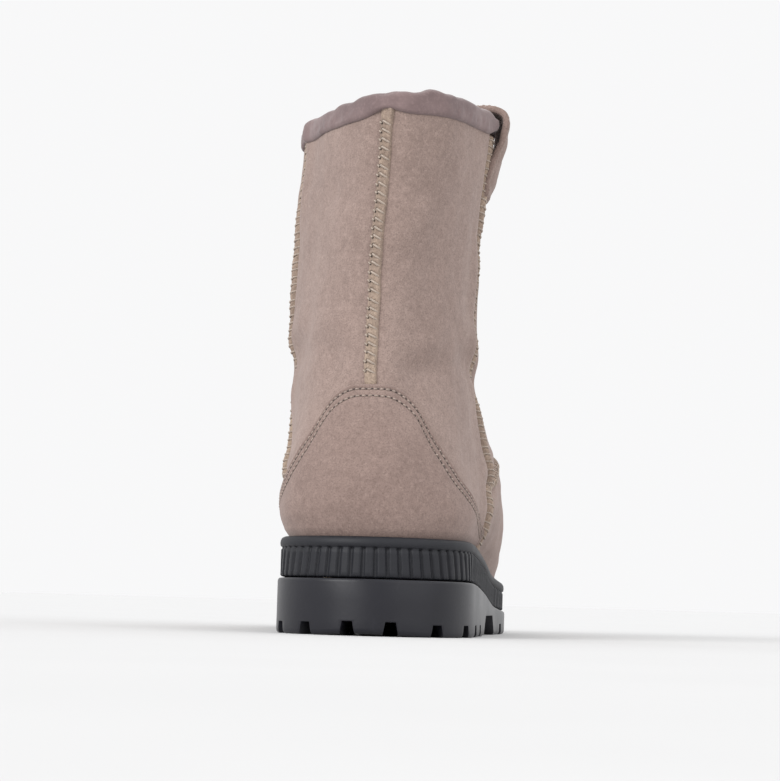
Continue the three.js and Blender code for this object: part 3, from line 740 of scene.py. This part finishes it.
# ------------ raised overlocked seams
# Rolled edges whipped with thread: the roll's width and height, the pitch, and the stitches. A stitch is
# (from, to, lean, radius): from and to are shares of the roll's half width, and lean is a share of the pitch.
LOW_FORM = (5.2, 3.1, 3.2, [(-1.08, 1.08, 0.7, 0.4)])
VAMP_FORM = (4.8, 2.7, 3.8, [(-1.08, 1.08, 0.75, 0.42)])
SEAM_FORM = {
    "back": (5.6, 2.6, 3.7, [(-1.12, -0.62, 0.3, 0.42), (-0.45, 0.72, 0.5, 0.46)]),
    "outer": (5.2, 3.2, 3.3, [(-1.08, 0.4, 0.6, 0.44), (1.08, 0.75, 0.2, 0.34)]),
    "inner": (5.2, 3.2, 3.3, [(1.08, -0.4, 0.6, 0.44), (-1.08, -0.75, 0.2, 0.34)]),
    "outer_low": LOW_FORM, "inner_low": LOW_FORM, "outer_vamp": VAMP_FORM, "inner_vamp": VAMP_FORM,
}
STEP, END_ROUND, SUNK = 0.45, 2.6, 0.5
JITTER, PULL_DEPTH, PULL_WIDTH, THREAD_BOW = 0.22, 0.55, 0.62, 0.34
ridge_bits, thread_bits, seam_hole_shades = Bits(), Bits(), Bits()


def roll(c):
    """Height of the roll across its width, where c is -1 to 1."""
    return np.sqrt(np.maximum(1 - np.abs(c) ** 2.15, 0))


def seam(name):
    """Rolled edge, threads and painted shade of the needle punctures along one seam."""
    width, tall, pitch, whips = SEAM_FORM[name]
    level, q = SEAMS[name]
    p, n = upper_surface(level, q)
    if name.endswith("low"):
        p = np.concatenate([p, on_sole(q[-1:], CUP_INSET - 0.2, -2.5)])
        n = np.concatenate([n, n[-1:]])
    run = run_along(p)
    total = run[-1]
    s = np.arange(0, total, STEP)
    path, normal = sample(p, n, run, s)
    across = unit(np.cross(normal, unit(np.gradient(path, axis=0))))
    wobble = 0.2 * np.sin(s / 9.3 + len(name)) + 0.1 * np.sin(s / 3.1)
    ends = cap(np.minimum(s, total - s), END_ROUND)
    c = np.linspace(-1, 1, 15)
    body, nub, first = roll(c), 0.0, 1.8
    if name == "back":
        body = body * (0.78 + 0.42 * np.clip((c - 0.1) / 0.5, 0, 1))
        nub, first = np.exp(-(s / 8.0) ** 2), 9.3  # below the folded nub at the collar
    pull = np.zeros((len(s), len(c)))
    knots = []
    for c0, c1, slant, radius in whips:
        at = np.arange(first, total - pitch - 0.8, pitch)
        at = at + rng.normal(0, JITTER, len(at))
        knots.append((at, c0, c1, slant, radius))
        inside = np.exp(-np.maximum(np.abs(c - (c0 + c1) / 2) - abs(c1 - c0) / 2, 0) ** 2 / 0.03)
        for one in at:
            line = one + pitch * slant * (c - c0) / (c1 - c0)
            pull += PULL_DEPTH * np.exp(-((s[:, None] - line) / PULL_WIDTH) ** 2) * inside
    height = tall * ends * (1 + 0.18 * nub)
    half = width / 2 * (0.55 + 0.45 * ends) * (1 + 0.22 * nub)
    skin = (path[:, None] + across[:, None] * (c * half[:, None] + wobble[:, None])[..., None]
            + normal[:, None] * (body * height[:, None] - SUNK)[..., None])
    rough = 0.12 * lumps(skin, 61, 5) + 0.08 * lumps(skin, 62, 2.6)
    grid = skin + normal[:, None] * ((rough - pull) * body)[..., None]
    ridge_bits.add(grid, grid_faces(*grid.shape[:2])[:, ::-1])
    steps = np.linspace(0, 1, 9)
    for at, c0, c1, slant, radius in knots:
        ss = at[:, None] + pitch * slant * steps
        cc = c0 + (c1 - c0) * steps
        pp, nn = sample(p, n, run, ss)
        lift = np.interp(ss, s, height) * roll(np.clip(cc, -1, 1))
        lift = lift - SUNK - THREAD_BOW + THREAD_BOW * np.sin(math.pi * steps)
        shift = cc * np.interp(ss, s, half) + np.interp(ss, s, wobble)
        out = pp + along_path(across, s, ss) * shift[..., None] + nn * lift[..., None]
        thread_bits.tubes(out, radius, taper=0.75)
        # Near-black tubes where a thread enters the roll: painted shade of the needle punctures.
        for end in (0, -1):
            if abs((c0, c1)[end]) < 0.7:
                shade_spot = out[:, [end, end]] + nn[:, [end, end]] * np.array([-0.5, 0.16])[:, None]
                seam_hole_shades.tubes(shade_spot, radius=0.5, taper=0.9)


for name in SEAM_FORM:
    seam(name)
finish_piece(ridge_bits.build("seam_ridges", RAW_EDGE), "suede")
finish_piece(thread_bits.build("seam_threads", THREAD), "suede")
finish_piece(seam_hole_shades.build("seam_needle_hole_shades", HOLE_SHADE), "suede")

# ------------ collar binding
B_COLS = 460
OUTER, INNER, ROUND_COLLAR = 7.8, 9.0, 364
HALF_WALL, HALF_ROLL, ROLL_RISE = 3.6, 5.0, 2.6
b_q, b_s, run = even_round(TOP, B_COLS)
b_top = np.full(B_COLS, float(TOP))
top, top_n = upper_surface(b_top, b_q)
calm, _ = upper_surface(b_top, b_q, softness=0.25)
flat_n = unit(top_n * FLAT)
seam_s = [np.interp(SEAMS[k][1][0], T_FINE, run) for k in ("back", "outer", "inner")]
near_seam, near_wide = (sum(np.exp(-((b_s - s) / reach) ** 2) for s in seam_s) for reach in (4.2, 6.5))
outer_drop = OUTER - 2.9 * near_wide
turn_s = b_s / ROUND_COLLAR * 2 * math.pi
waves = 0.55 * (0.45 * np.sin(turn_s * 9 + 0.6) + 0.4 * np.sin(turn_s * 23 + 2.1))
waves = waves + 0.34 * lumps(top, 21, 16) + 0.17 * lumps(top, 22, 6)


def raised(height):
    return UP * height[:, None]


under, under_n = upper_surface(TOP - outer_drop / COLLAR_LEVEL, b_q)
rows = [under + under_n * 0.15]
for f in np.arange(9) / 8:  # up the outside
    base, n = upper_surface(TOP - outer_drop * (1 - f) / COLLAR_LEVEL, b_q)
    belly = 1.35 + 0.3 * math.sin(math.pi * f) + 1.9 * near_seam * (1 - 0.4 * f)
    uneven = 0.22 * lumps(base, 71, 7) + 0.12 * lumps(base, 72, 3.5)
    belly = belly + uneven * math.sin(math.pi * min(1, f + 0.15))
    if f == 0:
        belly = belly - 0.9
    rows.append(base + unit(n * np.array([1, 1, 0.3])) * belly[:, None] + raised(waves * f))
for f in np.arange(1, 10) / 10:  # over the top
    a = math.pi * f
    mid = top * (1 - f) + calm * f - flat_n * HALF_WALL
    rows.append(mid + flat_n * HALF_ROLL * math.cos(a) + raised(ROLL_RISE * math.sin(a) + waves))
for f in np.arange(8) / 7:  # down the inside
    base, n = upper_surface(b_top - INNER * f / COLLAR_LEVEL, b_q, softness=0.25)
    rows.append(base - n * (8.7 if f < 1 else 7.4) + raised(waves * (1 - f)))
binding = loft("collar_binding_cloth", np.array(rows), BINDING, wrap_cols=True)
finish_piece(binding, "binding", "collar_binding")

# ------------ pull loop at the outer side seam
LOOP = dict(width=24.0, thick=3.2, middle=-84.0)
ACROSS, ALONG = 25, 66
loop_share = np.linspace(0, 1, ACROSS)
loop_r = LOOP["width"] * (loop_share - 0.5) + LOOP["middle"]
# From the outer end to the inner one: down from the collar's edge, above it, and out from the wall.
LOOP_PATH = table("drop lift out", [
    (33, 0, -1.2), (30, 0, 0.9), (25, 0, 3.0), (19, 0, 4.0), (12, 0, 4.6), (6, 0, 4.9), (1, 0.2, 5.0),
    (0, 2.2, 3.8), (0, 3.6, 0.4), (0, 3.9, -3.5), (0, 3.5, -7.4), (0, 1.6, -9.4), (6, 0, -9.9),
    (14, 0, -9.9)])
path_k = np.linspace(0, 13, ALONG)
mid_grid = []
for k, drop, lift, stand in zip(path_k, *(through(np.arange(14), LOOP_PATH[c], path_k) for c in LOOP_PATH)):
    level = np.full(ACROSS, TOP - drop / COLLAR_LEVEL)
    base, n = upper_surface(level, q_at(level, loop_r), softness=0.5)
    # The rear edge of the outer leg turns in towards the wall.
    turned_in = 2.9 * loop_share ** 2 * np.clip((drop - 9) / 9, 0, 1) * (k < 7)
    stand = np.maximum(stand - turned_in, min(stand, 0.2))
    mid_grid.append(base + unit(n * FLAT) * stand[:, None] + UP * lift)
mid_grid = np.array(mid_grid)
square = unit(np.cross(unit(np.gradient(mid_grid, axis=1)), unit(np.gradient(mid_grid, axis=0))))
if square[10, ACROSS // 2, 0] > 0:
    square = -square
edge = np.abs(2 * loop_share - 1)
puff = LOOP["thick"] * (0.72 + 0.28 * (1 - edge ** 6)) * (1 + 0.06 * lumps(mid_grid, 31, 9))
puff = puff - 0.3 * np.exp(-((edge - 0.80) / 0.07) ** 2)
rank = np.arange(ALONG)
tail = np.clip(np.minimum(rank, rank[::-1]) / 3, 0.25, 1)[:, None]
outside = mid_grid + square * (puff * tail)[..., None]
loop_grid = np.concatenate([mid_grid, outside[:, ::-1]], axis=1)
finish_piece(loft("pull_loop_strap", loop_grid, SUEDE_COUNTER, wrap_cols=True), "suede", "pull_loop")
loop_threads = Bits()
for col in (2, 22):
    line = outside[4:62, col]
    run = run_along(line)
    at = np.arange(1.5, run[-1] - 1.5, 2.6)[:, None]
    p, n = sample(line, square[4:62, col], run, at + 0.8 * STITCH)
    loop_threads.tubes(p + n * (-0.16 + 0.24 * (1 - STITCH ** 2))[:, None], radius=0.32)
finish_piece(loop_threads.build("pull_loop_stitching", THREAD_FINE), "suede")

# ------------ fleece lining
WOOL, LOCK_LENGTH, LOCK_CURL = 5.2, 1.9, 1.35
l_levels = TOP * np.linspace(0, 0.985, 120)
l_q = np.array([even_round(level, 260)[0] for level in l_levels])
l_lev = np.broadcast_to(l_levels[:, None], l_q.shape)
l_p, l_n = upper_base(l_lev, l_q), upper_normal(l_lev, l_q)
curl = 0.45 * lumps(l_p, 41, 6, 20) + 0.2 * lumps(l_p, 42, 3.6, 20) + 0.5 * lumps(l_p, 43, 17) + 0.6
lining = l_p - l_n * (WOOL + curl)[..., None]
lining = np.concatenate([on_sole(l_q[0], CUP_INSET + WOOL, -4)[None], lining])
finish_piece(loft("fleece_lining", lining, FLEECE, wrap_cols=True, flip=True), "fleece")


def locks(name, count, low, high):
    """Short curled locks scattered over the lining between two shares of its height."""
    lev = TOP * rng.uniform(low, high, count) ** 0.9
    q = rng.uniform(-1, 1, count)
    normals = -upper_normal(lev, q)
    points = upper_base(lev, q) + normals * 5.0
    side = unit(np.cross(normals, rng.normal(size=(count, 3))))
    other = np.cross(normals, side)
    f = np.linspace(0, 1, 4)
    turn = rng.uniform(2.2, 4.4, count) * rng.choice([-1, 1], count)
    a = turn[:, None] * f + rng.uniform(0, 6.28, count)[:, None]
    radius = LOCK_CURL * (0.35 + 0.65 * f) * rng.uniform(0.7, 1.4, count)[:, None]
    height = LOCK_LENGTH * rng.uniform(0.6, 1.2, count)[:, None] * np.sin(f * math.pi * 0.85 + 0.15)
    path = points[:, None] + normals[:, None] * height[..., None]
    for way, turned in ((side, np.cos(a)), (other, np.sin(a))):
        path = path + way[:, None] * (radius * turned)[..., None]
    bits = Bits()
    bits.tubes(path, radius=1.0, sides=3, taper=0.6)
    finish_piece(bits.build(name, FLEECE, smooth=False), "fleece")


locks("fleece_locks_shaft", 10500, 0.5, 0.985)
locks("fleece_locks_foot", 9000, 0.0, 0.55)

# ------------ insole
i_q, _ = ring_q(220)
insole = [on_sole(i_q, inset, z - RIM_DEPTH)
          for inset, z in ((14.0, 0.4), (13.2, 3.0), (13.6, 5.6), (16, 6.6), (24, 6.9), (34, 6.9))]
spine_u, _ = sole_plan(i_q, 34.0)
insole.append(place(spine_u, through(PLAN["u"], PLAN["centre"], spine_u), sole_top(spine_u) - 0.1))
insole = np.array(insole)
insole[2:] += UP * (0.5 * lumps(insole[2:], 51, 6, 20))[..., None]
finish_piece(loft("insole_fleece", insole, FLEECE, wrap_cols=True), "fleece", "insole")

# ------------ midsole: lip and ribbed band
M_COLS = 1380
RIB_SPACING, RIB_DEPTH, LIP = 5.1, 1.15, 4.5
BAND = (0.9, 3.2)  # insets that the band's face lies between
m_q, m_run = ring_q(M_COLS)
rib_phase = np.linspace(0, 1, M_COLS, endpoint=False) * round(m_run / RIB_SPACING)


def rib(phase):
    """1 on a rib, 0 in the channel between two, eased from one to the other."""
    r = np.clip((0.80 - np.abs((phase % 1.0) - 0.5) * 2) / 0.22, 0, 1)
    return r * r * (3 - 2 * r)


m_rows = []
lean = 0.9 * np.sin(np.pi * m_q)
m_u, _ = sole_plan(m_q, 0.0)
(near_u, near_x), (far_u, far_x) = (sole_plan(m_q, inset) for inset in BAND)
low, high = part_line(m_u) + 0.3, sole_top(m_u) - LIP
for f in (0, 0.03, 0.07, 0.2, 0.4, 0.6, 0.8, 0.93, 0.97, 1.0):
    r = rib(rib_phase + lean * (f - 0.5)) * min(f / 0.05, 1)
    inset = 1.0 + RIB_DEPTH * (1 - r) + (0.6 if f == 0 else 0) + (0.5 if f > 0.95 else 0)
    k = (inset - BAND[0]) / (BAND[1] - BAND[0])
    m_rows.append(place(near_u + (far_u - near_u) * k, near_x + (far_x - near_x) * k, low + (high - low) * f))
m_rows += [on_sole(m_q, inset, rise) for inset, rise in (
    (1.3, -4.2), (0.75, -3.7), (0.6, -2.6), (0.75, -1.4), (1.3, -0.5), (2.3, 0.0), (3.8, 0.1), (4.6, -0.4),
    (5.2, -2.0), (5.2, -6.5))]
m_rows += [on_sole(m_q, inset, rise, part_line) for inset, rise in ((5.2, 2.0), (4.0, 0.3))]
midsole = loft("ribbed_midsole", np.array(m_rows), RUBBER_BAND, wrap_cols=True, wrap_rows=True)
finish_piece(midsole, "sole_rubber", "midsole")

# ------------ outsole
# Grooves run in from the sole's edge, each with the station and side distance of its outer and inner end.
HEEL_GROOVES = table("outU outX inU inX width", [
    (73, 36, 79.5, 12, 7), (48, 39, 58, 12.5, 7), (24, 38, 42.5, 10.5, 6.4), (6.5, 26, 36.5, 8.5, 6),
    (-1, 7, 35, 1, 5.6), (0.5, -11, 36.5, -7.5, 5.6), (12, -29.5, 41.5, -14.5, 6),
    (31.5, -40.5, 49.5, -19.5, 6.4), (54, -44, 64, -22, 7), (76.5, -46, 82, -22, 7)])
TREAD_GROOVES = table("outU outX inU inX width", [
    (166, 47.5, 175.5, 17, 6.6), (188, 54, 194.5, 20.5, 6.6), (212, 54, 212, 21.5, 7),
    (234.5, 51, 227, 19.5, 7), (257, 44, 239, 16.5, 7), (276, 28.5, 248, 9, 6.6),
    (285, 4, 250, 2, 5.4), (277.5, -15.5, 243, -9, 5.4), (261, -33, 237, -15.5, 5.4),
    (243.5, -43, 227, -20, 6.2), (219, -51, 208, -24.5, 6.6),
    (195.5, -54.5, 189, -25.5, 6.6), (171, -53, 170.5, -25, 6.6)])
# Recessed fields, and the pads that stand in them.
HEEL_FIELD = [
    (34, 7), (40, 12), (58, 14.5), (97.5, 12.5), (97.5, -22.5), (58, -22.5), (43, -19), (35.5, -12),
    (32.5, -3)]
TREAD_FIELD = [
    (154, 9), (170, 14.5), (196, 20), (214, 22), (230, 19.5), (243, 13), (248, 4), (244, -8), (234, -17),
    (222, -22.5), (208, -25.5), (153, -26)]
HEEL_BARS = [
    [(68, 7.5), (77.5, 7.5), (77.5, -16), (67, -16), (71.5, -4)],
    [(86, 6.5), (93, 6.5), (93, -16), (86, -16)]]
TREAD_POINT = [(236, 13), (242.5, 6), (242, -1), (238.5, -9), (230.5, -15), (232.5, -2)]
BELOW, OVERRUN = -6.0, 8
ROOT_SHARE, FLARE = 0.38, 2.4


def poly_object(name, verts, faces):
    """Object from corners in millimetres and faces with any number of corners."""
    mesh = bpy.data.meshes.new(name)
    mesh.from_pydata([tuple(v * MM) for v in verts], [], faces)
    mesh.update()
    return add_object(name, mesh)


def prism(outline, low, high):
    """Lower and upper ring of an upright prism."""
    a = np.array(outline, float)
    area = np.sum(a[:, 0] * np.roll(a[:, 1], -1) - np.roll(a[:, 0], -1) * a[:, 1])
    if area < 0:
        a = a[::-1]
    return place(a[:, 0], a[:, 1], low), place(a[:, 0], a[:, 1], high)


def prisms_object(name, items):
    verts, faces, n = [], [], 0
    for low, high in items:
        k = len(low)
        verts += [*low, *high]
        faces += [[*range(n, n + k)][::-1], [*range(n + k, n + 2 * k)]]
        for i in range(k):
            j = (i + 1) % k
            faces.append([n + i, n + j, n + k + j, n + k + i])
        n += 2 * k
    return poly_object(name, verts, faces)


def groove_line(out_u, out_x, in_u, in_x):
    """A groove's outer and inner end, its direction, and the direction across it."""
    outer, inner = np.array([out_u, out_x]), np.array([in_u, in_x])
    along = unit(inner - outer)
    return outer, inner, along, np.array([-along[1], along[0]])


def groove_prism(out_u, out_x, in_u, in_x, width):
    """Four-cornered section at each end of a groove: wide at the mouth and narrow at the root."""
    outer, inner, along, side = groove_line(out_u, out_x, in_u, in_x)
    root = width * ROOT_SHARE
    mouth = root + FLARE
    out = []
    for p, z in ((outer - along * OVERRUN, ground(np.clip(out_u, 0, SOLE_LENGTH)) + GROOVE_DEPTH),
                 (inner, ground(in_u) + GROOVE_DEPTH)):
        corners = ((-mouth, BELOW), (mouth, BELOW), (root, z), (-root, z))
        out.append(np.array([place(*(p + side * shift), height) for shift, height in corners]))
    return out


def apply_modifiers(obj):
    """Keeps what an object's modifiers make of it."""
    dg = bpy.context.evaluated_depsgraph_get()
    new = bpy.data.meshes.new_from_object(obj.evaluated_get(dg))
    obj.modifiers.clear()
    obj.data = new


def cut(obj, cutter):
    m = obj.modifiers.new("cut", "BOOLEAN")
    m.operation, m.solver, m.use_self, m.object = "DIFFERENCE", "EXACT", True, cutter
    apply_modifiers(obj)
    bpy.data.objects.remove(cutter)


# The body, with quads across its flat bottom and top.
HALF = 120
s_q = -np.concatenate([np.linspace(0, 1, HALF + 1), np.linspace(-1, 0, HALF + 1)[1:-1]])
s_q[HALF] = -1
RING = len(s_q)
rings = [on_sole(s_q, inset, rise, ground)
         for inset, rise in ((1.3, 0), (0.5, 0.35), (0.1, 1.0), (0, 2.0), (0, GROOVE_DEPTH + 0.5))]
rings.append(on_sole(s_q, 0, 2, lambda u: (ground(u) + part_line(u)) / 2))
rings += [on_sole(s_q, inset, rise, part_line)
          for inset, rise in ((0, -1.4), (0.15, -0.6), (0.6, -0.12), (1.4, 0))]
faces = [list(f) for f in grid_faces(len(rings), RING, wrap_cols=True)]
for base, up in ((0, False), ((len(rings) - 1) * RING, True)):
    for i in range(HALF):
        loop = [i, i + 1, (RING - i - 1) % RING, (RING - i) % RING]
        loop = [base + v for k, v in enumerate(loop) if v not in loop[:k]]
        faces.append(loop if up else loop[::-1])
outsole = poly_object("lugged_outsole", np.concatenate(rings), faces)

a = ARCH
arch_side = [(a["back"], BELOW), (a["back"], 0), (a["back"] + a["slope"], a["height"]),
             (a["front"] - a["slope"], a["height"]), (a["front"], 0), (a["front"], BELOW)]
arch = [np.array([place(u, x, z) for u, z in arch_side]) for x in (-90.0, 90.0)]
cut(outsole, prisms_object("arch_cut", [arch]))
grooves = [row for t in (HEEL_GROOVES, TREAD_GROOVES) for row in zip(*t.values())]
cutters = [groove_prism(*row) for row in grooves]
for start in (0, 1):
    cut(outsole, prisms_object("groove_cut", cutters[start::2]))
fields = [prism(field, BELOW, GROOVE_DEPTH) for field in (HEEL_FIELD, TREAD_FIELD)]
pads = [[(54 + 10 * math.cos(i * math.pi / 24), -3 + 10 * math.sin(i * math.pi / 24)) for i in range(48)],
        *HEEL_BARS, TREAD_POINT]
for i, far in enumerate((8.5, 12.5, 15, 15)):  # slanted bars of the tread
    low_u = 157 + 18 * i
    high_u = low_u + 7.5 * (far + 21) / 36
    pads.append([(low_u, -21), (high_u, far), (high_u + (13 if i == 0 else 11), far), (low_u + 11, -21)])
field_obj = prisms_object("field_cut", fields)
cut(field_obj, prisms_object("pad_keep", [prism(pad, BELOW - 1, GROOVE_DEPTH + 1) for pad in pads]))
cut(outsole, field_obj)
ticks = []
for *ends, width in grooves:
    outer, inner, along, side = groove_line(*ends)
    mid = (outer + inner) / 2
    for sign in (-1, 1):
        c = mid + side * sign * (width * ROOT_SHARE + 1.3)
        quad = [c + along * 2, c + side * sign * 2.2, c - along * 2, c - side * sign * 1.2]
        ticks.append(prism(quad, BELOW, 3.0 + float(ground(mid[0]))))
cut(outsole, prisms_object("tick_cut", ticks))
bevel = outsole.modifiers.new("soft_edges", "BEVEL")
bevel.width, bevel.segments = 0.45 * MM, 2
bevel.limit_method, bevel.angle_limit = "ANGLE", math.radians(38)
bevel.use_clamp_overlap = True
apply_modifiers(outsole)
outsole.data.materials.clear()
outsole.data.materials.append(RUBBER)
for poly in outsole.data.polygons:
    poly.use_smooth = True
outsole.data.set_sharp_from_angle(angle=math.radians(42))
finish_piece(outsole, "sole_rubber", "outsole")
plate = prisms_object("shank_plate", [prism([(99, 8.5), (146, 4.5), (146, -21.5), (99, -22.5)], 7.8, 10)])
plate.data.materials.append(RUBBER)
bevel = plate.modifiers.new("soft", "BEVEL")
bevel.width, bevel.segments = 0.5 * MM, 2
finish_piece(plate, "sole_rubber")

# ------------ floor, light and camera
WHITE = Nodes("paper_floor")
speck = WHITE.noise(8, 2, 0.5)
WHITE.to(WHITE.ramp(speck, (0.3, (0.605, 0.605, 0.605)), (0.7, (0.615, 0.615, 0.615))), "Base Color")
WHITE.set(Roughness=0.9, Specular_IOR_Level=0.0)
turns = np.linspace(0, 2 * math.pi, 96, endpoint=False)
disc = [[(r * math.cos(a), r * math.sin(a), 0) for a in turns] for r in (0.001, 0.3, 1, 3, 9, 30)]
floor = loft("floor_sweep", np.array(disc) / MM, WHITE.mat, wrap_cols=True, flip=True)


def sun(name, toward, strength, angle):
    light = bpy.data.lights.new(name, "SUN")
    light.energy, light.angle = strength, math.radians(angle)
    add_object(name, light).rotation_euler = Vector(toward).to_track_quat("Z", "Y").to_euler()


sun("key", (0.58, 0.68, 0.5), 1.64, 34)
sun("low", (0.42, 0.88, 0.03), 0.60, 35)
sun("fill", (-0.7, 0.5, 0.4), 0.65, 60)
sun("top", (-0.15, -0.35, 1.0), 0.7, 70)
world = bpy.data.worlds.new("studio")
world.use_nodes = True
colour, strength = world.node_tree.nodes["Background"].inputs[:2]
colour.default_value, strength.default_value = (0.94, 0.94, 0.945, 1), 1.0
bpy.context.scene.world = world
bpy.context.scene.view_settings.view_transform = "Standard"

cam = bpy.data.cameras.new("camera")
cam.lens, cam.sensor_width = 100.0, 36.0
cam_obj = add_object("camera", cam)
azimuth, distance, height = math.radians(183.6), 0.955, 0.014
target = np.array([-0.003, 0.06, 0.107])
x, y = target[:2] + distance * np.array([math.sin(azimuth), -math.cos(azimuth)])
cam_obj.location = (x, y, height)
look = Vector(target) - cam_obj.location
cam_obj.rotation_mode = "QUATERNION"
cam_obj.rotation_quaternion = look.to_track_quat("-Z", "Y") @ Quaternion((0, 0, 1), math.radians(1.6))
bpy.context.scene.camera = cam_obj
